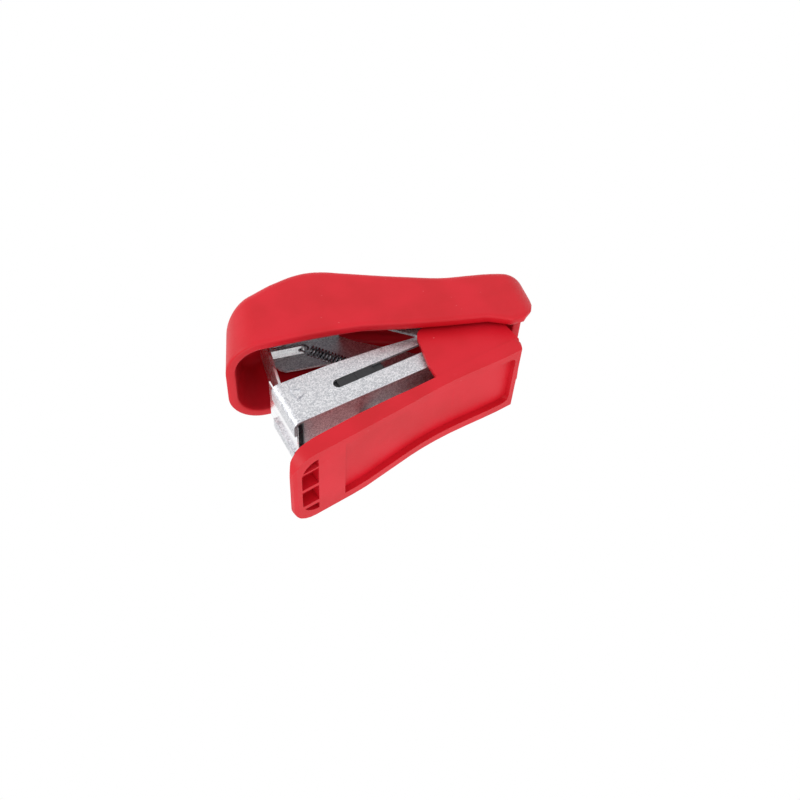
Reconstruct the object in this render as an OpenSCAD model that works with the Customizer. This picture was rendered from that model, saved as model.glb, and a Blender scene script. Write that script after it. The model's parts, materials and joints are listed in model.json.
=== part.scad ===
// Small red hand stapler: a moulded base, a sheet-steel staple magazine and a moulded handle,
// all turning on one hinge pin. X runs from the front (-X) to the rear, Y is across, Z is up.
// The origin is on the desk, under the middle of the length of the stapler as it rests.
// Every outline is drawn as the stapler stands when it is pressed shut, measured from the
// front edge of the base, and each body is then swung up about the hinge to where it rests.

/* [Base] */
// Length of the base's top
base_l = 57.6; // [57:0.1:58]
// Width of the base at its front
base_front_w = 20.5; // [20:0.1:21]
// Width of the base at its rear
base_rear_w = 18.2; // [18:0.1:18.8]
// Rise of the arch under the middle of the base
arch_rise = 1.1; // [0.4:0.1:1.2]
// Thickness of the rim round the underside
rim_t = 2; // [1.6:0.1:2.2]
// Width across the outside of the two ears that hold the hinge pin
ears_w = 17.5; // [17.3:0.1:17.8]

/* [Magazine] */
// Width across the outside of the staple channel
channel_w = 14.3; // [14.1:0.1:14.3]
// Thickness of the channel's sheet steel
sheet_t = 0.6; // [0.5:0.05:0.6]
// Height of the slot in each side of the channel
slot_h = 2.2; // [2.1:0.1:2.4]
// Height that the front plate reaches when the stapler is shut
plate_top = 19; // [17.5:0.1:19.4]

/* [Handle] */
// Width of the handle
handle_w = 23.4; // [23:0.1:24]
// Thickness of the handle's side walls
handle_wall = 2; // [1.8:0.1:2]
// Width of the driver blade
blade_w = 12; // [11.6:0.1:12.2]

/* [Hinge] */
// Distance of the hinge from the front edge of the base
hinge_x = 49.5; // [49.4:0.1:49.6]
// Height of the hinge above the desk
hinge_z = 10; // [9.9:0.1:10.1]
// Radius of the hinge pin
pin_r = 1.2; // [1:0.05:1.25]
// Angle that the magazine rests at above shut
magazine_rest = 6.6; // [6:0.1:6.8]
// Angle that the handle rests at above shut
handle_rest = 17.5; // [17:0.1:18]

/* [Hidden] */
$fn = 48;

origin_x = 34.24;          // from the front edge of the base to the origin
hinge = [hinge_x, hinge_z];
fit = 0.05;                // running clearance on the pin's radius
plate_t = 0.5;             // sheet of the hammer frame and of the front plate
slack = 0.07;              // gap between sheets that slide past each other

red = [0.78, 0.12, 0.18];
steel = [0.75, 0.76, 0.78];
blackened = [0.12, 0.12, 0.13];
black = [0.05, 0.05, 0.06];

channel_half = channel_w / 2;
channel_in = channel_half - sheet_t;
arm_in = channel_half + slack;
arm_out = arm_in + plate_t;
ear_out = ears_w / 2;
ear_in = arm_out + slack;
pin_half = ear_out - 0.45;

// ---------------------------------------------------------------- helpers

function arc(c, r, a0, a1, n = 6) =
    [for (i = [0:n]) let (a = a0 + (a1 - a0) * i / n) c + r * [cos(a), sin(a)]];

// An outline that is the same on both sides of the X axis, from its +Y half
function both_sides(pts) =
    concat(pts, [for (i = [len(pts) - 1:-1:0]) [pts[i][0], -pts[i][1]]]);

function unit(v) = v / norm(v);

// Where the line from p touches the circle at c: side 1 is on its left, -1 on its right
function touch(p, c, r, side) =
    let (d = c - p, reach = norm(d), turn = atan2(d[1], d[0]) + side * asin(r / reach))
    p + sqrt(reach * reach - r * r) * [cos(turn), sin(turn)];

// An open line moved d to its right, corner by corner
function moved(pts, d) =
    [for (i = [0:len(pts) - 1])
        let (a = pts[max(i - 1, 0)], b = pts[min(i + 1, len(pts) - 1)], t = unit(b - a))
        pts[i] + d * [t[1], -t[0]]];

// A point of a body swung up by a degrees about the hinge
function swung(p, a) =
    let (d = p - hinge)
    hinge + [d[0] * cos(a) + d[1] * sin(a), d[1] * cos(a) - d[0] * sin(a)];

// A side outline of X and Z points, w wide across Y and centred at y
module across(pts, w, y = 0)
    translate([0, y + w / 2, 0])
        rotate([90, 0, 0])
            linear_extrude(w)
                polygon(pts);

// The same, once on each side, between y0 and y1 from the middle
module pair(pts, y0, y1)
    for (side = [-1, 1])
        across(pts, y1 - y0, side * (y0 + y1) / 2);

// A round bar along Y through a side point
module bar(p, r, w, y = 0)
    translate([p[0], y, p[1]])
        rotate([90, 0, 0])
            cylinder(h = w, r = r, center = true);

module block(from, to)
    translate(from)
        cube(to - from);

module on_base()
    translate([-origin_x, 0, 0])
        children();

module swing(a)
    on_base()
        translate([hinge_x, 0, hinge_z])
            rotate([0, a, 0])
                translate([-hinge_x, 0, -hinge_z])
                    children();

module on_magazine()
    swing(magazine_rest)
        children();

module on_handle()
    swing(handle_rest)
        children();

// Direction of a path at point i
function heading(path, i) = unit(path[min(i + 1, len(path) - 1)] - path[max(i - 1, 0)]);

// A round wire of radius r that follows a path. Each ring of its skin carries the last ring's
// side direction on, turned only as far as the path turns.
module wire(path, r, sides = 6) {
    first = cross(heading(path, 0), [0.1, 1, 0.2]);
    side = [for (i = 0, n = unit(first); i < len(path); i = i + 1,
            n = i < len(path) ? unit(n - (n * heading(path, i)) * heading(path, i)) : n) n];
    skin = [for (i = [0:len(path) - 1], j = [0:sides - 1])
        let (a = 360 * j / sides)
        path[i] + r * cos(a) * side[i] + r * sin(a) * cross(heading(path, i), side[i])];
    faces = [for (i = [0:len(path) - 2], j = [0:sides - 1], upper = [0, 1])
        let (k = (j + 1) % sides, a = i * sides + j, b = (i + 1) * sides + j, c = (i + 1) * sides + k)
        upper == 0 ? [a, b, c] : [a, c, i * sides + k]];
    start = [for (j = [0:sides - 1]) j];
    end = [for (j = [sides - 1:-1:0]) (len(path) - 1) * sides + j];
    polyhedron(skin, concat(faces, [start, end]), convexity = 10);
}

// ---------------------------------------------------------------- base

deck_z = 3.3;              // top of the base between its side walls
panel_rise = 1.3;          // depth of the panel in the underside
pocket_top = 2.6;
seat_z = 3.75;             // top of the seat under the anvil
base_foot_l = base_l - 1.6; // the rear end slopes in towards the desk
front_half = base_front_w / 2;
rear_half = base_rear_w / 2;

// Half-width of the base, which narrows on a smooth curve between two stations
taper_from = 14;
taper_to = 33;
function base_half(x) =
    let (t = min(max((x - taper_from) / (taper_to - taper_from), 0), 1))
    rear_half + (front_half - rear_half) * (1 + cos(180 * t)) / 2;

// Plan of the base, drawn in by d all round
function base_plan(d) =
    let (front_r = 5 - d * 0.6, rear_r = 1.4, end = base_l - d * 1.4)
    both_sides(concat(
        arc([d + front_r, front_half - d - front_r], front_r, 180, 90),
        [for (x = [taper_from:3.8:taper_to + 0.1]) [x, base_half(x) - d]],
        arc([end - rear_r, rear_half - d - rear_r], rear_r, 90, 0, 4)));

// The arch under the base, raised by up
arch_from = 13;
arch_top = 36;
function arch(up) =
    concat(
        [[arch_from, up]],
        [for (t = [1:6])
            [arch_from + (arch_top - arch_from) * t / 6, up + arch_rise * (1 - cos(30 * t)) / 2]],
        [for (t = [1:5])
            [arch_top + (base_foot_l - arch_top) * t / 5, up + arch_rise * (1 + cos(36 * t)) / 2]]);

base_side = concat(
    [[0, 1.2], [0.3, 0.4], [1, 0]],
    arch(0),
    [[base_foot_l + 0.3, 0.4], [base_l, 2.6], [base_l - 0.7, 3.2], [46, 3.6], [36, 3.8], [26, 4]],
    [[15, 3.75], [7, 3.6], [3, 3.1], [1, 2.4]]);

ear_top = 16.5;
ear_front = [[36.4, 2.4], [36.6, 3.8], [37.3, 7.8], [39.6, 14.4]];
ear_side = concat(
    ear_front,
    arc([42.1, 14], 2.5, 165, 95, 4),
    arc([50.8, ear_top - 7], 7, 88, 0, 7),
    [[57.6, 3], [57.2, 2.4]]);

anvil_rivet_x = 5.5;
anvil_rivet_y = 4;
anvil_rivet_z = 2.9;       // foot of the anvil's rivets, in blind holes
rivet_r = 0.8;
lift_rivet_x = 36;
lift_rivet_z = 2.7;

// Places of the two anvil rivets, one each side
module at_anvil_rivets()
    for (side = [-1, 1])
        translate([anvil_rivet_x, side * anvil_rivet_y, 0])
            children();

module base_shell() color(red) on_base() difference() {
    union() {
        intersection() {
            linear_extrude(6)
                polygon(base_plan(0));
            across(base_side, base_front_w + 1);
        }
        pair(ear_side, ear_in, ear_out);
        block([3, -6.9, 3], [11.4, 6.9, seat_z]);
    }
    // Tray between the side walls, cut round the anvil's seat
    difference() {
        translate([0, 0, deck_z])
            linear_extrude(4)
                polygon(base_plan(1.7));
        block([3, -6.9, 3], [11.4, 6.9, seat_z]);
        pair(ear_side, ear_in, ear_out);
    }
    // Panel in the underside, behind a flush pad that lies across it
    intersection() {
        across(concat(arch(panel_rise), [[54.6, -1], [12, -1], [12, panel_rise]]), base_front_w);
        translate([0, 0, -2])
            linear_extrude(8)
                polygon(base_plan(rim_t));
    }
    // Pockets between the ribs at the front
    intersection() {
        for (y = [-8.6, -5.45, 0.3, 6.25])
            block([rim_t, y, -1], [5.8, y + (abs(y) > 6 ? 2.7 : 4.9), pocket_top]);
        translate([0, 0, -2])
            linear_extrude(8)
                polygon(base_plan(rim_t));
    }
    for (side = [-1, 1])
        bar(hinge, pin_r + fit, 1.1, side * (pin_half + 0.05 - 0.55));
    at_anvil_rivets()
        translate([0, 0, anvil_rivet_z])
            cylinder(h = 10, r = rivet_r);
    translate([lift_rivet_x, 0, lift_rivet_z])
        cylinder(h = 10, r = rivet_r);
}

anvil_top = 4.95;
anvil_front = 3.4;
anvil_rear = 10.9;
blade_x = 8.53;            // middle of the driver blade when shut
blade_t = 0.6;
groove_r = 1.1;

module anvil_plate() color(blackened) on_base() difference() {
    block([anvil_front, -6.6, seat_z], [anvil_rear, 6.6, anvil_top]);
    // Two hollows that turn the staple's legs inwards
    for (side = [-1, 1])
        bar([blade_x, anvil_top + 0.55], groove_r, 5, side * 3.6);
    at_anvil_rivets()
        cylinder(h = 20, r = rivet_r, center = true);
}

module anvil_rivets() color(blackened) on_base() at_anvil_rivets()
    translate([0, 0, anvil_rivet_z])
        cylinder(h = anvil_top - anvil_rivet_z, r = rivet_r);

module hinge_pin() color(steel) on_base()
    bar(hinge, pin_r, 2 * pin_half);

lift_t = 0.4;
lift_w = 4;
lift_tip_x = 22;
lift_line = [[40.5, deck_z], [33, deck_z], [30.5, deck_z + 0.9], [lift_tip_x + 1, 8.1], [lift_tip_x, 8.2]];

module lift_spring() color(steel) on_base() difference() {
    across(concat(lift_line, [for (i = [4:-1:0]) moved(lift_line, lift_t)[i]]), lift_w);
    translate([lift_rivet_x, 0, 0])
        cylinder(h = 20, r = rivet_r, center = true);
}

module lift_spring_rivet() color(steel) on_base() translate([lift_rivet_x, 0, 0]) {
    translate([0, 0, lift_rivet_z])
        cylinder(h = deck_z + lift_t - lift_rivet_z, r = rivet_r);
    translate([0, 0, deck_z + lift_t])
        cylinder(h = 0.5, r = 1.5);
}

// ---------------------------------------------------------------- magazine

floor_from = [8.2, 5.37];  // underside of the channel's floor at its front
floor_slope = 2.7;         // the floor climbs towards the rear
flange_x = 6.9;            // front face of the flanges that wrap the front corners
flange_end = 3.1;          // the flanges leave this much open on each side of the middle
fold_r = 1.4;
channel_rear = 55.4;
floor_t = sheet_t;
floor_start = 0.85;        // leaves the staple its way out
floor_end = 37.2;          // leaves room for the spring round the hinge
slot_w = 5.15;             // height of the slot's middle above the floor's underside
slot_front = 10.4;
slot_rear = 35.6;
rail_half = 5.6;
rail_top = 5;              // top of the rail above the floor's underside
pusher_half = channel_in - 0.15;
pusher_in = rail_half + 0.1;

channel_side = concat(
    [[flange_x - 1, floor_from[1] - 0.06], [floor_from[0], floor_from[1]]],
    [[channel_rear, floor_from[1] + (channel_rear - floor_from[0]) * tan(floor_slope)]],
    [[channel_rear, 12.6], [54, 14.2], [40.2, 15.1], [32.7, 15.8], [20.2, 16.35]],
    [[8, 16.2], [flange_x - 1, 16.2]]);

// Plan of the channel drawn in by d, open at the rear
function channel_plan(d) =
    both_sides(concat(
        [[channel_rear + 3 + d, channel_half - d]],
        arc([flange_x + fold_r, channel_half - fold_r], fold_r - d, 90, 180)));

// Along the channel's floor: X follows the floor and Z is the height above its underside
module on_floor()
    on_magazine()
        along_floor()
            children();

module along_floor()
    translate([floor_from[0], 0, floor_from[1]])
        rotate([0, -floor_slope, 0])
            children();

rail_rivet_at = [14, 33];

module at_rail_rivets()
    for (x = rail_rivet_at)
        translate([x, 0, 0])
            children();

module staple_channel() color(steel) on_magazine() difference() {
    union() {
        // Side walls with their folded front flanges
        intersection() {
            across(channel_side, channel_w + 1);
            difference() {
                linear_extrude(30)
                    polygon(channel_plan(0));
                translate([0, 0, -1])
                    linear_extrude(32)
                        polygon(channel_plan(sheet_t));
                block([0, -flange_end, -1], [flange_x + 2, flange_end, 31]);
            }
        }
        // Floor, which stops short of the front to let the staple out
        along_floor()
            block([floor_start, -channel_in - 0.1, 0], [floor_end, channel_in + 0.1, floor_t]);
        // Small D-shaped tabs pressed out of the side walls
        for (side = [-1, 1])
            difference() {
                bar([10.6, 12.6], 1.6, 0.6, side * channel_half);
                bar([10.9, 12.6], 0.7, 0.3, side * (channel_half + 0.25));
                block([8, -9, 10], [10, 9, 15]);
            }
    }
    along_floor() {
        for (x = [slot_front + slot_h / 2, slot_rear - slot_h / 2])
            bar([x, slot_w], slot_h / 2, channel_w + 2);
        block([slot_front + slot_h / 2, -9, slot_w - slot_h / 2],
            [slot_rear - slot_h / 2, 9, slot_w + slot_h / 2]);
        at_rail_rivets()
            cylinder(h = 10, r = rivet_r, center = true);
    }
    bar(hinge, pin_r + fit, channel_w + 2);
}

module front_plate() color(steel) on_magazine()
    block([flange_x + sheet_t, -5.6, 5.6], [flange_x + sheet_t + 0.4, 5.6, plate_top]);

module staple_rail() color(steel) on_floor() difference() {
    block([1.15, -rail_half, floor_t], [36, rail_half, rail_top]);
    block([0, -rail_half + sheet_t, floor_t + 0.5], [37, rail_half - sheet_t, rail_top - sheet_t]);
    at_rail_rivets()
        cylinder(h = 4, r = rivet_r, center = true);
}

module rail_rivets() color(steel) on_floor() at_rail_rivets() {
    cylinder(h = floor_t + 0.5, r = rivet_r);
    translate([0, 0, floor_t + 0.5])
        cylinder(h = 0.4, r = 1.4);
}

bush_r = 1.9;

module hinge_bush() color(steel) on_magazine() difference() {
    bar(hinge, bush_r, 2 * channel_in - 0.1);
    bar(hinge, pin_r + fit, channel_w);
}

// Torsion spring round the bush: one leg lies on the channel's floor and the other stands up
// to the handle's roof
coil_r = 2.5;
coil_wire = 0.3;
coil_pitch = 0.72;
coil_turns = 4;
leg_low = [44.5, 8.3];
leg_high = swung([45.4, 23.8], handle_rest - magazine_rest);
leg_leaves = touch(leg_high, hinge, coil_r, 1) - hinge;
coil_angle = 90 + atan2(leg_leaves[1], leg_leaves[0]) + 360 * coil_turns;
coil_steps = 68;
coil_half = coil_pitch * coil_angle / 720;
coil_path = concat(
    [[leg_low[0], coil_half, leg_low[1]], [(leg_low[0] + hinge_x) / 2, coil_half, leg_low[1] - 0.4]],
    [for (i = [0:coil_steps])
        let (t = i / coil_steps, a = coil_angle * t - 90)
        [hinge_x + coil_r * cos(a), coil_half * (1 - 2 * t), hinge_z + coil_r * sin(a)]],
    [[leg_high[0], -coil_half, leg_high[1]]]);

module return_spring() color(steel) on_magazine()
    wire(coil_path, coil_wire);

// ---------------------------------------------------------------- pusher

pusher_front = 2.6;        // the pusher's front face along the floor, when it is fully forward
pusher_split = 15.6;
pusher_rear = 22.2;
pusher_low = 3;
pusher_top = 7.6;
tab_half = channel_half - 0.05;
tab_rear = 19.7;
post_at = [23.1, 8.4];     // the spring post along the floor

// A length of the pusher that straddles the rail
module saddle(x0, x1) difference() {
    block([x0, -pusher_half, pusher_low], [x1, pusher_half, pusher_top]);
    block([x0 - 1, -pusher_in, pusher_low - 1], [x1 + 1, pusher_in, rail_top + 0.1]);
}

module slot_tabs(x0, x1)
    for (side = [-1, 1])
        translate([0, side * (tab_half + pusher_half - 0.4) / 2, 0])
            block([x0, -(tab_half - pusher_half + 0.4) / 2, slot_w - slot_h / 2 + 0.1],
                [x1, (tab_half - pusher_half + 0.4) / 2, slot_w + slot_h / 2 - 0.1]);

module pusher_slide_block() color(black) on_floor() {
    saddle(pusher_front, pusher_split);
    slot_tabs(slot_front + slot_h / 2, pusher_split);
}

module pusher_spring_block() color(black) on_floor() difference() {
    union() {
        saddle(pusher_split, pusher_rear);
        slot_tabs(pusher_split, tab_rear);
        // Two lugs that carry the spring post
        for (side = [-1, 1])
            translate([0, side * 2.1, 0])
                block([pusher_rear - 2, -0.5, pusher_top - 1], [post_at[0] + 1, 0.5, post_at[1] + 1]);
    }
    bar(post_at, 0.5, 8);
}

module spring_post() color(steel) on_floor()
    bar(post_at, 0.5, 5.2);

// ---------------------------------------------------------------- handle

handle_half = handle_w / 2;
roof_wall = 1.7;
front_corner_r = 8;
rear_corner_r = 3;
nose_x = -1.4;

// Top line of the handle in side view, from the rim of the nose over the roof to the rear lip
handle_top = concat(
    [[nose_x, 15.9], [-1.1, 18], [-0.3, 21.6], [0.6, 25.2]],
    arc([6.4, 24.6], 5.6, 164, 120, 4),
    [[8, 31], [13.4, 33.1]],
    arc([20.6, 22], 12.4, 104, 86, 4),
    [[27.9, 32.4], [34.1, 30.2], [41, 27.8], [48.8, 25.5], [54.6, 24.7], [60.6, 23.8]],
    arc([62, 19.9], 4.1, 80, 4, 4));
lip_z = 17.5;
handle_rear = [[66, 16.7], [65, 12.6], [63.8, 10.6], [61.8, 9.2], [58.8, 8.6]];
handle_low = [[57, 9.6], [54.2, 11], [45.3, 12.2], [36.4, 13.65], [27.7, 15.4], [16.7, 15.9]];

function handle_plan(d) =
    both_sides(concat(
        arc([nose_x + front_corner_r, handle_half - front_corner_r], front_corner_r - d, 180, 90, 8),
        arc([66.1 - rear_corner_r, handle_half - rear_corner_r], rear_corner_r - d * 0.6, 90, 0, 4)));

pegs = [[19.5, 33.5], [24.8, 32.6]]; // where each peg stands and how high its root is
peg_r = 0.9;
web_z = 30.3;              // underside of the hammer frame's web
web_front = 12.4;
web_rear = 26.9;

module handle_shell() color(red) on_handle() {
    difference() {
        intersection() {
            across(concat(handle_top, handle_rear, handle_low), handle_w);
            linear_extrude(40)
                polygon(handle_plan(0));
        }
        intersection() {
            across(concat([[nose_x + 2.5, 0]], moved(handle_top, roof_wall), [[66.1 - roof_wall, 0]]),
                handle_w);
            translate([0, 0, -1])
                linear_extrude(42)
                    polygon(handle_plan(handle_wall));
        }
        // The rear is open under the lip
        block([56, -handle_half + handle_wall, 0], [70, handle_half - handle_wall, lip_z]);
    }
    // Two pegs that hold the hammer frame's web up against the roof
    for (peg = pegs) translate([peg[0], 0, 0]) {
        translate([0, 0, web_z - 0.5])
            cylinder(h = peg[1] - web_z + 0.5, r = peg_r);
        translate([0, 0, web_z + plate_t])
            cylinder(h = peg[1] - web_z - plate_t, r = peg_r + 0.8);
    }
}

arm_r = 5.4;
arm_low = [39.2, 13.1];
arm_high = [36.2, 24.5];
frame_side = concat(
    [[10.8, web_z], [10.8, 25.6], [11.5, 24.3], [12.8, 23.4], [22.3, 23.1], [33.9, 16.65], arm_low],
    [touch(arm_low, hinge, arm_r, -1)],
    [for (i = [0:4]) hinge + arm_r * [cos(-60 + 30 * i), sin(-60 + 30 * i)]],
    [touch(arm_high, hinge, arm_r, 1)],
    [arm_high, [30.5, 27.8], [web_rear, web_z + plate_t], [web_front, web_z + plate_t], [web_front, web_z]]);

module hammer_frame() color(steel) on_handle() difference() {
    union() {
        pair(frame_side, arm_in, arm_out);
        block([web_front, -arm_out, web_z], [web_rear, arm_out, web_z + plate_t]);
    }
    bar(hinge, pin_r + fit, 20);
    bar([14, 28.9], 0.8, 20);
    for (peg = pegs)
        translate([peg[0], 0, 0])
            cylinder(h = 60, r = peg_r);
    at_driver_rivets()
        cylinder(h = 60, r = rivet_r);
}

blade_tip = 5.45;
flange_t = 0.6;
driver_rivet_x = 14.6;
driver_rivet_y = 3.4;

module at_driver_rivets()
    for (side = [-1, 1])
        translate([driver_rivet_x, side * driver_rivet_y, 0])
            children();

tongue_z = 22.4;
tongue_end = 16.9;
hook_x = 16.1;

// The blade, bent back at its top to lie under the frame's web
blade_side = [
    [blade_x - blade_t / 2, blade_tip], [blade_x - blade_t / 2, 28.5],
    [11.4, web_z], [17, web_z], [17, web_z - flange_t], [11.6, web_z - flange_t],
    [blade_x + blade_t / 2, 28.1], [blade_x + blade_t / 2, blade_tip]
];

module driver_blade() color(steel) on_handle() difference() {
    union() {
        across(blade_side, blade_w);
        // Tongue pressed out of the blade to hold the spring
        block([blade_x, -1.3, tongue_z], [tongue_end, 1.3, tongue_z + flange_t]);
    }
    translate([hook_x, 0, tongue_z - 1])
        cylinder(h = 3, r = 0.5);
    at_driver_rivets()
        cylinder(h = 60, r = rivet_r);
}

module driver_rivets() color(steel) on_handle() at_driver_rivets() {
    translate([0, 0, web_z - flange_t])
        cylinder(h = flange_t + plate_t, r = rivet_r);
    translate([0, 0, web_z - flange_t - 0.4])
        cylinder(h = 0.4, r = 1.4);
}

// Extension spring from the driver's tongue down to the post on the pusher, as it rests.
// Its path starts round the post and climbs along Z to the loop through the tongue.
spring_r = 1;
wire_r = 0.2;
spring_pitch = 0.72;
spring_steps = 12;         // points in a turn
loop_low = 0.75;           // radius of the loop round the post
loop_high = 0.85;
loop_rise = 1.3;           // from the middle of a loop to the first turn
hook_rest = swung([hook_x + loop_high, tongue_z + flange_t / 2], handle_rest);
post_rest = swung(floor_from
    + [post_at[0] * cos(floor_slope) - post_at[1] * sin(floor_slope),
       post_at[0] * sin(floor_slope) + post_at[1] * cos(floor_slope)], magazine_rest);
spring_run = hook_rest - post_rest;
coil_l = norm(spring_run) - 2 * loop_rise;
spring_turns = floor(coil_l / spring_pitch) + 0.5;
spring_last = spring_turns * spring_steps;
spring_path = concat(
    [for (a = [-270:30:0]) loop_low * [cos(a), 0, sin(a)]],
    [for (i = [0:spring_last])
        let (a = 360 * i / spring_steps)
        [spring_r * cos(a), spring_r * sin(a), loop_rise + coil_l * i / spring_last]],
    [for (a = [180:-30:-90]) [loop_high * cos(a), 0, norm(spring_run) + loop_high * sin(a)]]);

module pusher_spring() color(steel) on_base()
    translate([post_rest[0], 0, post_rest[1]])
        rotate([0, atan2(spring_run[0], spring_run[1]), 0])
            wire(spring_path, wire_r);

// ---------------------------------------------------------------- output

base_shell();
anvil_plate();
anvil_rivets();
hinge_pin();
lift_spring();
lift_spring_rivet();
staple_channel();
front_plate();
staple_rail();
rail_rivets();
hinge_bush();
return_spring();
pusher_slide_block();
pusher_spring_block();
spring_post();
handle_shell();
hammer_frame();
driver_blade();
driver_rivets();
pusher_spring();
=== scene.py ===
import json
import math
import bmesh
import bpy
import numpy as np
from mathutils import Matrix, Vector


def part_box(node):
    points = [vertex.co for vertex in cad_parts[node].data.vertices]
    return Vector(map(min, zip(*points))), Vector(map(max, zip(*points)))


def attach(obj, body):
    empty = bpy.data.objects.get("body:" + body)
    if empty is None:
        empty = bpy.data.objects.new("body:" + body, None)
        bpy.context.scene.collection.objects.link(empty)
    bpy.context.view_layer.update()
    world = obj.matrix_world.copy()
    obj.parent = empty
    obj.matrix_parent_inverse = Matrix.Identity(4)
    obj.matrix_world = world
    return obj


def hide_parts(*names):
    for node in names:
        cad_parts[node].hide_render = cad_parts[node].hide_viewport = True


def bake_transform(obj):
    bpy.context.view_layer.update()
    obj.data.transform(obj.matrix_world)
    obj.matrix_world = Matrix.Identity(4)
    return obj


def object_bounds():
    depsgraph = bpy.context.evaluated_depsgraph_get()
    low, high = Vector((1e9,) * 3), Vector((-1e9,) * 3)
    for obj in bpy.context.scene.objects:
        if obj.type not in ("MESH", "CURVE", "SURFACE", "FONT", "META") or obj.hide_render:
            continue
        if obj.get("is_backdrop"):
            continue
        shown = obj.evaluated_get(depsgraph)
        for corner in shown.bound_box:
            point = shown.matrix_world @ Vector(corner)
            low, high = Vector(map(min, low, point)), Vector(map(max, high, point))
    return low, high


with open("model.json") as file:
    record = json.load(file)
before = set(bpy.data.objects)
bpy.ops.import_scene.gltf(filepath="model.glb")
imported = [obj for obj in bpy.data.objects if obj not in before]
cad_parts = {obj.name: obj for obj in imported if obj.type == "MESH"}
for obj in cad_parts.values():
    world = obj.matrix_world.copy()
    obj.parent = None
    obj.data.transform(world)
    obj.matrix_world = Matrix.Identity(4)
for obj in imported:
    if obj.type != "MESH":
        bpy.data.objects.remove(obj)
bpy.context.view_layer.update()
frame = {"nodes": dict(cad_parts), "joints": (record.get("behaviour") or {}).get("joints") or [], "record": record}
hinge = next(np.array(j["pos_m"]) for j in frame["joints"] if j["name"] == "handle_hinge")
# Every outline is in millimetres, measured from the base's front edge
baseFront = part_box("base_shell")[0].x
mm = 0.001

# ---- camera, floor and light

view = {
    "place": (-53.463, -165.626, -96.764),  # mm
    "right": (0.81447, -0.04934, -0.57810),
    "down": (-0.42338, 0.63074, -0.65033),
    "forward": (0.39672, 0.77443, 0.49283),
    "lens": 45.84,
    "sensor": 36,
    "near": 0.01,  # m
}
right, down, forward = (np.array(view[key]) for key in ("right", "down", "forward"))
camera = bpy.data.objects.new("camera", bpy.data.cameras.new("camera"))
camera.data.lens = view["lens"]
camera.data.sensor_width = view["sensor"]
camera.data.clip_start = view["near"]
turned = Matrix(np.stack([right, -down, -forward], axis=1).tolist()).to_4x4()
turned.translation = np.array(view["place"]) * mm + (baseFront, 0, 0)
camera.matrix_world = turned
bpy.context.collection.objects.link(camera)
bpy.context.scene.camera = camera

studio = {
    "sky": (1.0, 1.0, 1.0),
    "skyStrength": 1.0,
    "floorColour": (0.93, 0.93, 0.92),
    "floorPale": (0.97, 0.97, 0.96),
    "floorHalf": 1.5,  # m
    "floorGap": 0.00005,  # m under the lowest point
    # place from the middle of the object in m, side of the lamp in m, power in W
    "lamps": {
        "key": ((-0.42, -0.30, 0.30), 0.30, 1.2),
        "fill": ((-0.10, -0.50, -0.25), 0.40, 0.5),
        "back": ((0.35, 0.40, 0.45), 0.40, 0.8),
        "under": ((-0.25, 0.10, -0.45), 0.30, 0.9),
    },
}


def lightStudio(middle):
    world = bpy.data.worlds.new("studio")
    world.use_nodes = True
    sky = world.node_tree.nodes["Background"]
    sky.inputs["Color"].default_value = (*studio["sky"], 1)
    sky.inputs["Strength"].default_value = studio["skyStrength"]
    bpy.context.scene.world = world
    for name, (place, side, power) in studio["lamps"].items():
        lamp = bpy.data.lights.new(name, "AREA")
        lamp.size = side
        lamp.energy = power
        holder = bpy.data.objects.new(name, lamp)
        away = np.array(place)
        holder.location = middle + away
        z = away / np.linalg.norm(away)
        x = np.cross((0, 0, 1), z)
        x /= np.linalg.norm(x)
        turn = np.stack([x, np.cross(z, x), z], axis=1)
        holder.rotation_euler = Matrix(turn.tolist()).to_euler()
        bpy.context.collection.objects.link(holder)


# ---- materials


class Flow:
    # A socket that arithmetic works on: each operator adds a Math node
    def __init__(self, finish, socket):
        self.finish = finish
        self.socket = socket

    def maths(self, operation, *values):
        return self.finish.node("Math", {"operation": operation}, dict(enumerate((self, *values))))

    def __add__(self, other): return self.maths("ADD", other)
    def __radd__(self, other): return self.maths("ADD", other)
    def __sub__(self, other): return self.maths("SUBTRACT", other)
    def __mul__(self, other): return self.maths("MULTIPLY", other)
    def __rmul__(self, other): return self.maths("MULTIPLY", other)

    def __rsub__(self, other):
        return self.finish.node("Math", {"operation": "SUBTRACT"}, {0: other, 1: self})

    def ramp(self, low, high):  # 0 below low, 1 above high, smooth between
        settings = {"interpolation_type": "SMOOTHSTEP"}
        inputs = {"Value": self, "From Min": low, "From Max": high}
        return self.finish.node("MapRange", settings, inputs)


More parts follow.
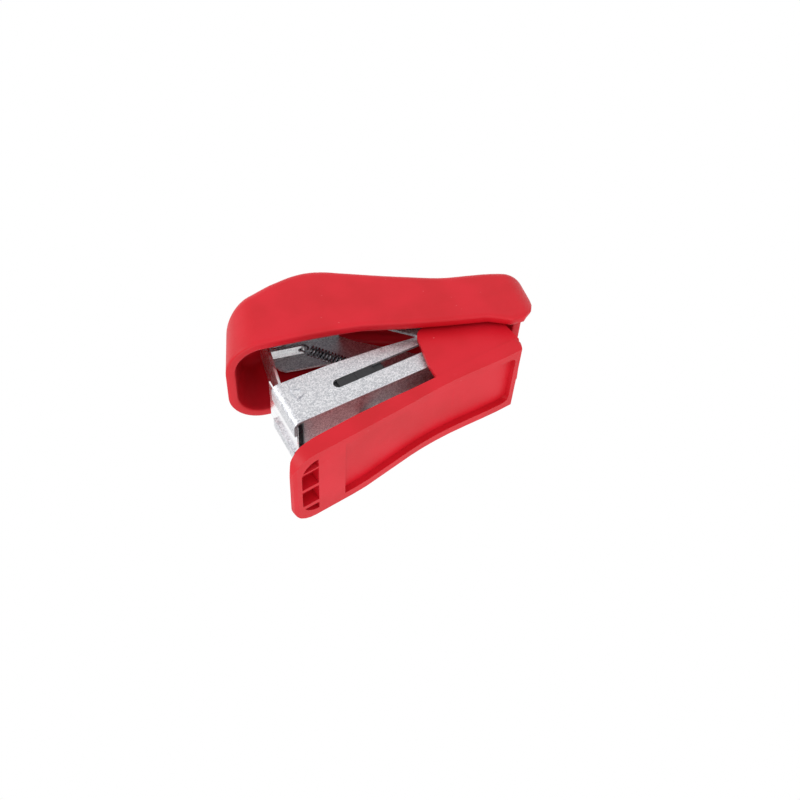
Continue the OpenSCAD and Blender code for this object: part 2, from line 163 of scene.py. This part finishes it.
class Finish:
    # A material and the one way that its nodes are made
    def __init__(self, name):
        self.material = bpy.data.materials.new(name)
        self.material.use_nodes = True
        self.tree = self.material.node_tree
        self.shader = self.tree.nodes["Principled BSDF"]
        self.place = self.node("TexCoord", {}, {}, "Object")

    def node(self, kind, settings, inputs, output=0):
        made = self.tree.nodes.new("ShaderNode" + kind)
        for key, value in settings.items():
            setattr(made, key, value)
        for key, value in inputs.items():
            self.put(made.inputs[key], value)
        return Flow(self, made.outputs[output])

    def put(self, socket, value):
        if isinstance(value, Flow):
            self.tree.links.new(value.socket, socket)
        elif isinstance(value, tuple) and len(value) == 3 and socket.type == "RGBA":
            socket.default_value = (*value, 1)
        else:
            socket.default_value = value

    def noise(self, scale, detail=2.0, rough=0.5, stretch=(1, 1, 1)):
        place = self.place
        if stretch != (1, 1, 1):
            place = self.node("Mapping", {}, {"Vector": place, "Scale": stretch})
        inputs = {"Vector": place, "Scale": scale, "Detail": detail, "Roughness": rough}
        return self.node("TexNoise", {}, inputs)

    def cells(self, scale):
        return self.node("TexVoronoi", {}, {"Vector": self.place, "Scale": scale}, "Color")

    def mix(self, mask, low, high):
        return self.node("Mix", {"data_type": "RGBA"}, {0: mask, 6: low, 7: high}, 2)

    def bump(self, height, distance, strength):
        inputs = {"Height": height, "Distance": distance, "Strength": strength}
        self.put(self.shader.inputs["Normal"], self.node("Bump", {}, inputs))

    def set(self, **values):
        for key, value in values.items():
            self.put(self.shader.inputs[key.replace("_", " ")], value)
        return self.material


# Colours are linear, scales are features per metre, bump depths are metres

plastic = {
    "body": (0.560, 0.0060, 0.0170),
    "deep": (0.490, 0.0040, 0.0110),
    "pale": (0.620, 0.0300, 0.0450),
    "mark": (0.760, 0.3000, 0.3200),
    "rough": 0.38,
    "grainDepth": 0.00003,
}


def redPlastic():
    finish = Finish("redPlastic")
    cloud = finish.noise(90, 3).ramp(0.3, 0.7)  # slow drift of colour over a moulding
    grain = finish.noise(2600, 3, 0.6)  # fine spark-eroded grain of the mould
    speck = finish.noise(1500, 1).ramp(0.80, 0.86)  # a few pale specks of dust
    scuff = finish.noise(260, 4, 0.7, (1, 0.12, 0.5)).ramp(0.66, 0.78)  # faint rubs
    colour = finish.mix(cloud, plastic["deep"], plastic["body"])
    colour = finish.mix(scuff * 0.35, colour, plastic["pale"])
    colour = finish.mix(speck * 0.6, colour, plastic["mark"])
    finish.bump(grain + cloud * 0.6, plastic["grainDepth"], 0.55)
    finish.set(Base_Color=colour, Roughness=grain * 0.16 + plastic["rough"] + scuff * 0.12)
    return finish.set(Specular_IOR_Level=0.28)


zinc = {
    "light": (0.86, 0.86, 0.88),
    "dark": (0.46, 0.47, 0.50),
    "spangle": 4200,
    "rough": 0.30,
    "depth": 0.00002,
}


def zincSteel():
    finish = Finish("zincSteel")
    flake = finish.node("SeparateColor", {}, {"Color": finish.cells(zinc["spangle"])})
    fine = finish.noise(9000, 2, 0.7)
    rolled = finish.noise(800, 3, 0.6, (0.15, 1, 1))  # faint lines along the strip
    tone = (flake * 0.45 + fine * 0.5 + rolled * 0.25).ramp(0.35, 0.95)
    finish.bump(flake + fine, zinc["depth"], 0.5)
    finish.set(Base_Color=finish.mix(tone, zinc["dark"], zinc["light"]))
    return finish.set(Roughness=0.2 * flake + zinc["rough"], Metallic=0.9)


# Finishes with one noise, which drives the colour, the roughness and the bump. Each has its noise
# (scale, detail, roughness, stretch), the two colours and the noise values that they stand for,
# the roughness (share of the noise, least), the bump (depth, strength) and how metallic it is.
plain = {
    "brightSteel": {
        "noise": (1400, 3, 0.6, (1, 1, 0.08)),  # lines along the strip it was blanked from
        "colours": ((0.52, 0.52, 0.54), (0.80, 0.80, 0.81)), "between": (0.3, 0.7),
        "rough": (0.2, 0.18), "bump": (0.00001, 0.4), "metal": 0.95,
    },
    # Steel for the front plate: its pale colours are painted highlight, a lit copy of the steel where the light
    # falls on the plate
    "litPolishedSteel": {
        "noise": (900, 3, 0.6, (1, 1, 0.1)),
        "colours": ((0.86, 0.86, 0.88), (0.96, 0.96, 0.97)), "between": (0.3, 0.7),
        "rough": (0.14, 0.10), "bump": (0.000004, 0.3), "metal": 0.9,
    },
    "springSteel": {
        "noise": (900, 3, 0.5, (1, 1, 1)),
        "colours": ((0.06, 0.06, 0.07), (0.34, 0.34, 0.36)), "between": (0.35, 0.7),
        "rough": (0.15, 0.12), "bump": (0.00001, 0.4), "metal": 1.0,
    },
    "blackPlastic": {
        "noise": (2400, 3, 0.5, (1, 1, 1)),
        "colours": ((0.006, 0.006, 0.008), (0.016, 0.016, 0.019)), "between": (0.3, 0.7),
        "rough": (0.2, 0.35), "bump": (0.00002, 0.5), "metal": 0.0,
    },
    "blackSteel": {
        "noise": (700, 4, 0.65, (1, 1, 1)),  # bare metal shows where the black has rubbed thin
        "colours": ((0.018, 0.018, 0.020), (0.10, 0.10, 0.11)), "between": (0.58, 0.74),
        "rough": (0.3, 0.25), "bump": (0.00001, 0.5), "metal": 0.6,
    },
}


def plainFinish(name):
    values = plain[name]
    finish = Finish(name)
    noise = finish.noise(*values["noise"])
    finish.bump(noise, *values["bump"])
    finish.set(Base_Color=finish.mix(noise.ramp(*values["between"]), *values["colours"]))
    share, least = values["rough"]
    return finish.set(Roughness=noise * share + least, Metallic=values["metal"])


def floorPaper():
    finish = Finish("floorPaper")
    fibre = finish.noise(60, 4)
    colour = finish.mix(fibre, studio["floorColour"], studio["floorPale"])
    finish.set(Base_Color=colour, Roughness=0.9)
    # Seen from below, the paper is clear, so that the underside shows
    clear = finish.node("BsdfTransparent", {}, {})
    back = finish.node("NewGeometry", {}, {}, "Backfacing")
    out = finish.tree.nodes["Material Output"].inputs["Surface"]
    paper = Flow(finish, finish.shader.outputs[0])
    finish.put(out, finish.node("MixShader", {}, {0: back, 1: paper, 2: clear}))
    return finish.material


finishes = {
    "red_plastic": redPlastic(),
    "zinc_steel": zincSteel(),
    "bright_steel": plainFinish("brightSteel"),
    "spring_steel": plainFinish("springSteel"),
    "black_plastic": plainFinish("blackPlastic"),
    "blackened_steel": plainFinish("blackSteel"),
}
litFrontPlateFinish = plainFinish("litPolishedSteel")  # the front plate, which the staples slide down: lower roughness for polish, and near-white colours that are painted highlight, a lit copy of the steel
slotOf = {part["node"]: part["material_slot"] for part in frame["record"]["subparts"]}
print("stage: materials", len(finishes))

# ---- making pieces


def swungUp(points, degrees):
    # Millimetres in the shut outline to metres at rest: each point turns about the hinge pin
    angle = math.radians(degrees)
    x = points[..., 0] * mm + baseFront - hinge[0]
    z = points[..., 2] * mm - hinge[2]
    turnedX = hinge[0] + x * math.cos(angle) + z * math.sin(angle)
    turnedZ = hinge[2] + z * math.cos(angle) - x * math.sin(angle)
    return np.stack([turnedX, points[..., 1] * mm, turnedZ], axis=-1)


def gridFaces(rows, columns, closeRows, closeColumns):
    # Corner numbers of every quad of a grid, which may close on itself either way
    row, column = np.arange(rows - (not closeRows)), np.arange(columns - (not closeColumns))
    i, j = np.meshgrid(row, column, indexing="ij")
    nextI, nextJ = (i + 1) % rows, (j + 1) % columns
    corners = [i * columns + j, nextI * columns + j, nextI * columns + nextJ, i * columns + nextJ]
    return np.stack(corners, axis=-1).reshape(-1, 4)


def finishMesh(mesh, merge):
    # Merges doubles, turns the faces outwards and shades them smooth
    work = bmesh.new()
    work.from_mesh(mesh)
    bmesh.ops.remove_doubles(work, verts=work.verts, dist=merge)
    bmesh.ops.recalc_face_normals(work, faces=work.faces)
    work.to_mesh(mesh)
    work.free()
    mesh.shade_smooth()


def addPiece(name, mesh, body, node):
    # A piece that bends between two bodies has none of its own
    piece = bpy.data.objects.new(name, mesh)
    bpy.context.collection.objects.link(piece)
    mesh.materials.clear()
    mesh.materials.append(finishes[slotOf[node]])
    if body:
        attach(piece, body)
    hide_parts(node)
    return piece


def surface(name, points, faces, body, node, merge=1e-6):
    mesh = bpy.data.meshes.new(name)
    mesh.from_pydata(points.reshape(-1, 3).tolist(), [], faces.tolist())
    finishMesh(mesh, merge)
    return addPiece(name, mesh, body, node)


def wireSkin(path, radius, sides):
    # Skin of a round wire: at each point of the path, a ring of the wire's radius stands square
    # to the path. The ring's first direction is carried along by the least turn.
    ahead = np.gradient(path, axis=0)
    ahead /= np.linalg.norm(ahead, axis=1, keepdims=True)
    side = np.zeros_like(path)
    carried = np.cross(ahead[0], (0.1, 1, 0.2))
    for k, direction in enumerate(ahead):
        carried = carried - direction * carried.dot(direction)
        carried /= np.linalg.norm(carried)
        side[k] = carried
    over = np.cross(ahead, side)
    turn = np.linspace(0, 2 * math.pi, sides, endpoint=False)
    ring = side[:, None] * np.cos(turn)[:, None] + over[:, None] * np.sin(turn)[:, None]
    skin = path[:, None] + radius * ring
    tips = np.repeat(path[[0, -1]][:, None], sides, axis=1)  # each end closes on a point
    return np.concatenate([tips[:1], skin, tips[1:]])


def smoothLine(xs, zs):
    # A smooth curve through the points: cubic between them, with slopes from their neighbours
    xs, zs = np.array(xs, float), np.array(zs, float)
    slopes = np.gradient(zs, xs)

    def at(x):
        x = np.clip(x, xs[0], xs[-1])
        k = np.clip(np.searchsorted(xs, x) - 1, 0, len(xs) - 2)
        gap = xs[k + 1] - xs[k]
        t = (x - xs[k]) / gap
        start = (1 + 2 * t) * (1 - t) ** 2 * zs[k] + t * (1 - t) ** 2 * gap * slopes[k]
        end = t * t * (3 - 2 * t) * zs[k + 1] + t * t * (t - 1) * gap * slopes[k + 1]
        return start + end
    return at


# ---- handle, with outlines as it stands when pressed shut

handle = {
    "angle": 17.5,  # degrees above shut
    "half": 11.7,  # of the width
    "front": -1.4,
    "rear": 66.1,
    "frontCorner": 8.0,
    "rearCorner": 4.4,
    "wall": 2.0,
    "roof": 1.7,
    "noseLean": 0.21,
    "sideLean": 0.012,
    "noseRound": 4.8,
    "sideRound": 2.4,
    "rearRound": 4.0,
    "leastRound": 0.8,
    "crown": 0.35,
    "rimRound": 0.35,
    "rimZ": 15.9,  # of the nose
    "noseEnds": 12,
    "rearStarts": 56,
    "ridge": (9, 60),  # the roof's middle line
    "roofLine": ([-2, 3, 8, 13.4, 17, 20.6, 24, 27.9, 34.1, 41, 48.8, 54.6, 60.6, 64, 67],
                 [28.2, 30.3, 32, 33.7, 34.7, 35, 34.4, 33, 30.7, 28.3, 25.9, 25.1, 24.3,
                  23.6, 22.8]),
    "rimLine": ([-2, 16.7, 22, 27.7, 36.4, 45.3, 54.2, 57, 58.8, 61.8, 63.8, 65, 65.9, 66.1],
                [15.9, 15.9, 15.75, 15.4, 13.65, 12.2, 11, 9.7, 8.8, 9.1, 10.4, 12.6, 16.7, 17.5]),
    # points along the nose, a corner, a side, the rear, up the wall, round its top, over the roof
    "points": {"nose": 6, "corner": 20, "side": 90, "rear": 10, "wall": 14, "top": 14, "roof": 12},
}


def handlePlan():
    # Half of the plan, from the middle of the nose round to the middle of the rear: points and
    # outward normals. Straight runs are joined by quarter circles.
    h, count = handle, handle["points"]
    turn = np.linspace(0, math.pi / 2, count["corner"])
    cos, sin = np.cos(turn), np.sin(turn)
    frontX, frontY = h["front"] + h["frontCorner"], h["half"] - h["frontCorner"]
    rearX, rearY = h["rear"] - h["rearCorner"], h["half"] - h["rearCorner"]
    nose = np.linspace(0, frontY, count["nose"])[:-1]
    side = np.linspace(frontX, rearX, count["side"])[1:-1]
    rear = np.linspace(rearY, 0, count["rear"])[1:]
    atNose, atSide, atRear = np.ones_like(nose), np.ones_like(side), np.ones_like(rear)
    xs = np.concatenate([h["front"] * atNose, frontX - h["frontCorner"] * cos, side,
                         rearX + h["rearCorner"] * sin, h["rear"] * atRear])
    ys = np.concatenate([nose, frontY + h["frontCorner"] * sin, h["half"] * atSide,
                         rearY + h["rearCorner"] * cos, rear])
    nx = np.concatenate([-atNose, -cos, 0 * atSide, sin, atRear])
    ny = np.concatenate([0 * atNose, sin, atSide, cos, 0 * atRear])
    return xs, ys, nx, ny


def makeHandle():
    # Each station of the plan carries one line up its wall and over the roof to the middle line.
    # A wall point stands on the plan drawn in by its inset. A roof point lies between the wall's
    # top and the middle line, at the height of the roof line. The inside is the same surface with
    # a smaller plan and a lower roof, and the two meet round the rim.
    h, count = handle, handle["points"]
    xs, ys, nx, ny = (a[:, None] for a in handlePlan())
    roofAt = smoothLine(*h["roofLine"])
    rimX, rimZ = h["rimLine"]
    frontness = np.clip((h["noseEnds"] - xs) / (h["noseEnds"] - h["front"]), 0, 1)
    rearness = np.clip((xs - h["rearStarts"]) / (h["rear"] - h["rearStarts"]), 0, 1) ** 2
    side = h["sideRound"]
    edge = side + (h["noseRound"] - side) * frontness + (h["rearRound"] - side) * rearness
    rise = np.linspace(0, 1, count["wall"])[None]
    curl = np.linspace(0, math.pi / 2, count["top"])[1:][None]
    across = np.linspace(0, 1, count["roof"])[1:][None]

    def sheet(wall, drop):
        radius = np.maximum(edge - wall, h["leastRound"])
        rim = np.interp(xs, rimX, rimZ)
        topX = xs - nx * (wall + radius)
        lean = h["noseLean"] * frontness ** 1.3
        topX = topX + lean * (roofAt(topX) - h["rimZ"])
        top = roofAt(topX) - drop
        start = rim + h["rimRound"]
        wallZ = start + (top - radius - start) * rise
        wallIn = wall + h["sideLean"] * (wallZ - rim)
        curlZ = top - radius * (1 - np.sin(curl))
        curlIn = wall + h["sideLean"] * (wallZ[:, -1:] - rim) + radius * (1 - np.cos(curl))
        z = np.concatenate([wallZ, curlZ], axis=1)
        inset = np.concatenate([wallIn, curlIn], axis=1)
        x = xs - nx * inset + lean * (z - h["rimZ"])
        y = ys - ny * inset
        middle = np.clip(x[:, -1:], *h["ridge"])
        roofX = x[:, -1:] + (middle - x[:, -1:]) * across
        roofY = y[:, -1:] * (1 - across)
        crown = h["crown"] * (1 - (roofY / h["half"]) ** 2) * np.sin(across * math.pi / 2)
        joinZ = (z[:, -1:] - roofAt(x[:, -1:]) + drop) * (1 - across)
        roofZ = roofAt(roofX) - drop + crown + joinZ
        both = ((x, roofX), (y, roofY), (z, roofZ))
        return np.stack([np.concatenate(pair, axis=1) for pair in both], axis=-1)

    outer, inner = sheet(0, 0), sheet(h["wall"], h["roof"])
    low, high = outer[:, 0], inner[:, 0]
    bow = np.linspace(0, math.pi, 7)[1:-1][None, :, None]
    rimMid = low[:, None] + (high - low)[:, None] * (1 - np.cos(bow)) / 2
    rimMid[..., 2] -= h["rimRound"] * np.sin(bow[..., 0]) ** 0.5
    lines = np.concatenate([outer[:, ::-1], rimMid, inner], axis=1)
    points = np.concatenate([lines, lines[1:-1][::-1] * (1, -1, 1)])
    faces = gridFaces(*points.shape[:2], True, False)
    surface("handleSkin", swungUp(points, h["angle"]), faces, "handle", "handle_shell", 2e-5)


makeHandle()
print("stage: handle")

# ---- spring from the driver's tongue to the pusher

spring = {
    "radius": 1.08, "wire": 0.22, "pitch": 0.78,
    "sides": 10, "stepsPerTurn": 28, "stepsPerLoop": 20,
    "lowLoop": 0.75, "highLoop": 0.85,  # radii of the loops
    "rise": 1.3,  # from a loop's middle to the coil
    "tongueHole": (16.95, 22.7),  # on the handle as it stands when shut
}


def springEnds():
    # The middle of the post and of the hole in the driver's tongue, in millimetres, at rest
    post = sum(np.array(corner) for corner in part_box("spring_post")) / 2
    x, z = spring["tongueHole"]
    hole = swungUp(np.array([[x, 0, z]]), handle["angle"])[0]
    return [(end - (baseFront, 0, 0)) * (1, 0, 1) / mm for end in (post, hole)]


def makeSpring():
    # A helix between two loops that lie in the plane of the coil's axis
    s = spring
    low, high = springEnds()
    length = np.linalg.norm(high - low)
    axis = (high - low) / length
    sideways = np.array([axis[2], 0, -axis[0]])
    coilLength = length - 2 * s["rise"]
    turns = math.floor(coilLength / s["pitch"]) + 0.5

    def loop(start, end, radius, height):
        a = np.radians(np.linspace(start, end, s["stepsPerLoop"]))
        return np.stack([radius * np.cos(a), 0 * a, height + radius * np.sin(a)], axis=1)

    t = np.linspace(0, 1, int(turns * s["stepsPerTurn"]))
    a = t * turns * 2 * math.pi
    coil = [s["radius"] * np.cos(a), s["radius"] * np.sin(a), s["rise"] + coilLength * t]
    path = np.concatenate([loop(-270, 0, s["lowLoop"], 0), np.stack(coil, axis=1),
                           loop(180, -90, s["highLoop"], length)])
    placed = low + path[:, :1] * sideways + path[:, 1:2] * (0, 1, 0) + path[:, 2:] * axis
    placed = placed * mm + (baseFront, 0, 0)
    skin = wireSkin(placed, s["wire"] * mm, s["sides"])
    faces = gridFaces(*skin.shape[:2], False, True)
    piece = surface("pusherSpringWire", skin, faces, None, "pusher_spring")
    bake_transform(piece)


makeSpring()
# ---- torsion spring round the hinge, and the leaf that lifts the magazine

hingeSpring = {
    "radius": 2.5, "wire": 0.3, "pitch": 0.72, "turns": 4, "stepsPerTurn": 32, "sides": 10,
    "angle": 6.6,  # degrees that the magazine stands above shut
    "lowLeg": (44.5, 8.3), "lowLegDrop": 0.4,
    "highLeg": (45.4, 23.8),  # on the handle as it stands when shut
}


def makeHingeSpring():
    # A helix along the hinge's line with a straight leg at each end. The first leg lies over the
    # channel's floor, the second leans on the handle's roof.
    s = hingeSpring
    centre = np.array([(hinge[0] - baseFront) / mm, hinge[2] / mm])
    lean = math.radians(handle["angle"] - s["angle"])
    dx, dz = s["highLeg"] - centre
    tip = centre + (dx * math.cos(lean) + dz * math.sin(lean),
                    dz * math.cos(lean) - dx * math.sin(lean))
    x, z = tip - centre
    # The angle on the coil where a line from the tip touches it
    leaves = math.degrees(math.atan2(z, x) - math.acos(s["radius"] / math.hypot(x, z)))
    sweep = 90 + leaves + 360 * s["turns"]
    t = np.linspace(0, 1, int(s["turns"] * s["stepsPerTurn"]))
    a = np.radians(sweep * t - 90)
    half = s["pitch"] * sweep / 720
    coil = [centre[0] + s["radius"] * np.cos(a), half * (1 - 2 * t),
            centre[1] + s["radius"] * np.sin(a)]
    legX, legZ = s["lowLeg"]
    lowLeg = [[legX, half, legZ], [(legX + centre[0]) / 2, half, legZ - s["lowLegDrop"]]]
    line = np.concatenate([lowLeg, np.stack(coil, axis=1), [[tip[0], -half, tip[1]]]])
    path = swungUp(line, s["angle"])
    skin = wireSkin(path, s["wire"] * mm, s["sides"])
    faces = gridFaces(*skin.shape[:2], False, True)
    piece = surface("hingeSpringWire", skin, faces, None, "return_spring")
    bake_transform(piece)


leaf = {
    "line": ([21.8, 22.6, 23.6, 30.5, 32.2, 33.6, 40.5], [8.42, 8.36, 8.05, 4.4, 3.72, 3.5, 3.5]),
    "width": 4.0, "thick": 0.4, "round": 0.12, "steps": 60,
    "bendsFrom": (33, 3.3), "bendsTo": (22, 8.2),
}


def makeLeaf():
    # A flat strip: a rounded rectangle stands square to a smooth side line
    s = leaf
    across, thick, r = s["width"] / 2, s["thick"] / 2, s["round"]
    x = np.linspace(s["line"][0][-1], s["line"][0][0], s["steps"])
    z = smoothLine(*s["line"])(x)
    ahead = np.gradient(np.stack([x, z], axis=1), axis=0)
    ahead /= np.linalg.norm(ahead, axis=1, keepdims=True)
    corner = np.radians([0, 30, 60, 90])
    quarter = np.stack([across - r + r * np.cos(corner), thick - r + r * np.sin(corner)], axis=1)
    half = np.concatenate([quarter, quarter[::-1] * (-1, 1)])
    ring = np.concatenate([half, -half])
    ends = np.ones((s["steps"], 1))
    ends[[0, -1]] = 0  # each end closes on its middle
    over = ring[:, 1] * ends
    skin = [x[:, None] - ahead[:, 1:] * over, ring[:, 0] * ends, z[:, None] + ahead[:, :1] * over]
    skin = np.stack(skin, axis=-1) * mm + (baseFront, 0, 0)
    faces = gridFaces(*skin.shape[:2], False, True)
    piece = surface("liftLeaf", skin, faces, None, "lift_spring")
    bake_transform(piece)


makeHingeSpring()
makeLeaf()
print("stage: springs")

# ---- pieces whose edges are softened

soft = {
    "widths": {  # body and width of the rounding in mm
        "base_shell": ("base", 0.28),
        "anvil_plate": ("base", 0.12),
        "staple_channel": ("magazine", 0.12),
        "front_plate": ("magazine", 0.12),
        "staple_rail": ("magazine", 0.12),
        "pusher_slide_block": ("pusher", 0.12),
        "pusher_spring_block": ("pusher", 0.12),
        "hammer_frame": ("handle", 0.12),
        "driver_blade": ("handle", 0.10),
    },
    "sharp": math.radians(28),  # edges that turn by more are rounded
    "flat": math.radians(1.5),  # faces that turn by less are joined, on the curved piece
    "curved": "base_shell",
    "merge": 2e-6,  # m
}


def softened(node, body, width):
    # The node's own surface, joined up, with each sharp edge rounded by width
    curved = node == soft["curved"]
    mesh = frame["nodes"][node].data.copy()
    work = bmesh.new()
    work.from_mesh(mesh)
    bmesh.ops.remove_doubles(work, verts=work.verts, dist=soft["merge"])
    if curved:
        flat = soft["flat"]
        bmesh.ops.dissolve_limit(work, angle_limit=flat, verts=work.verts, edges=work.edges)
    work.to_mesh(mesh)
    work.free()
    if curved:
        mesh.shade_smooth()
        mesh.set_sharp_from_angle(angle=soft["sharp"])
    else:
        mesh.shade_flat()
    piece = addPiece(node.replace("_", "") + "Soft", mesh, body, node)
    bevel = piece.modifiers.new("edges", "BEVEL")
    bevel.width = width * mm
    bevel.segments = 2
    bevel.limit_method = "ANGLE"
    bevel.angle_limit = soft["sharp"]
    bevel.harden_normals = curved


for node, (body, width) in soft["widths"].items():
    softened(node, body, width)
# The front plate takes the lit copy of the steel, with its colour painted as highlight
bpy.data.objects["frontplateSoft"].data.materials[0] = litFrontPlateFinish
print("stage: softened pieces", len(soft["widths"]))

for name, part in frame["nodes"].items():
    part.data.materials.clear()
    part.data.materials.append(finishes[slotOf[name]])

# ---- floor, light and sizes

lowest, highest = (np.array(corner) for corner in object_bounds())
half = studio["floorHalf"]
floorMesh = bpy.data.meshes.new("floor")
floorZ = lowest[2] - studio["floorGap"]
corners = [(x * half, y * half, floorZ) for x, y in ((-1, -1), (1, -1), (1, 1), (-1, 1))]
floorMesh.from_pydata(corners, [], [(0, 1, 2, 3)])
floorMesh.materials.append(floorPaper())
floor = bpy.data.objects.new("floor", floorMesh)
# The floor takes shadows but doesn't shade the underside
floor.visible_shadow = False
floor.visible_diffuse = False
floor.visible_glossy = False
floor.visible_transmission = False
bpy.context.collection.objects.link(floor)
floor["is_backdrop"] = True
lightStudio((lowest + highest) / 2)
bpy.context.scene.view_settings.view_transform = "Standard"
print("stage: floor and light")
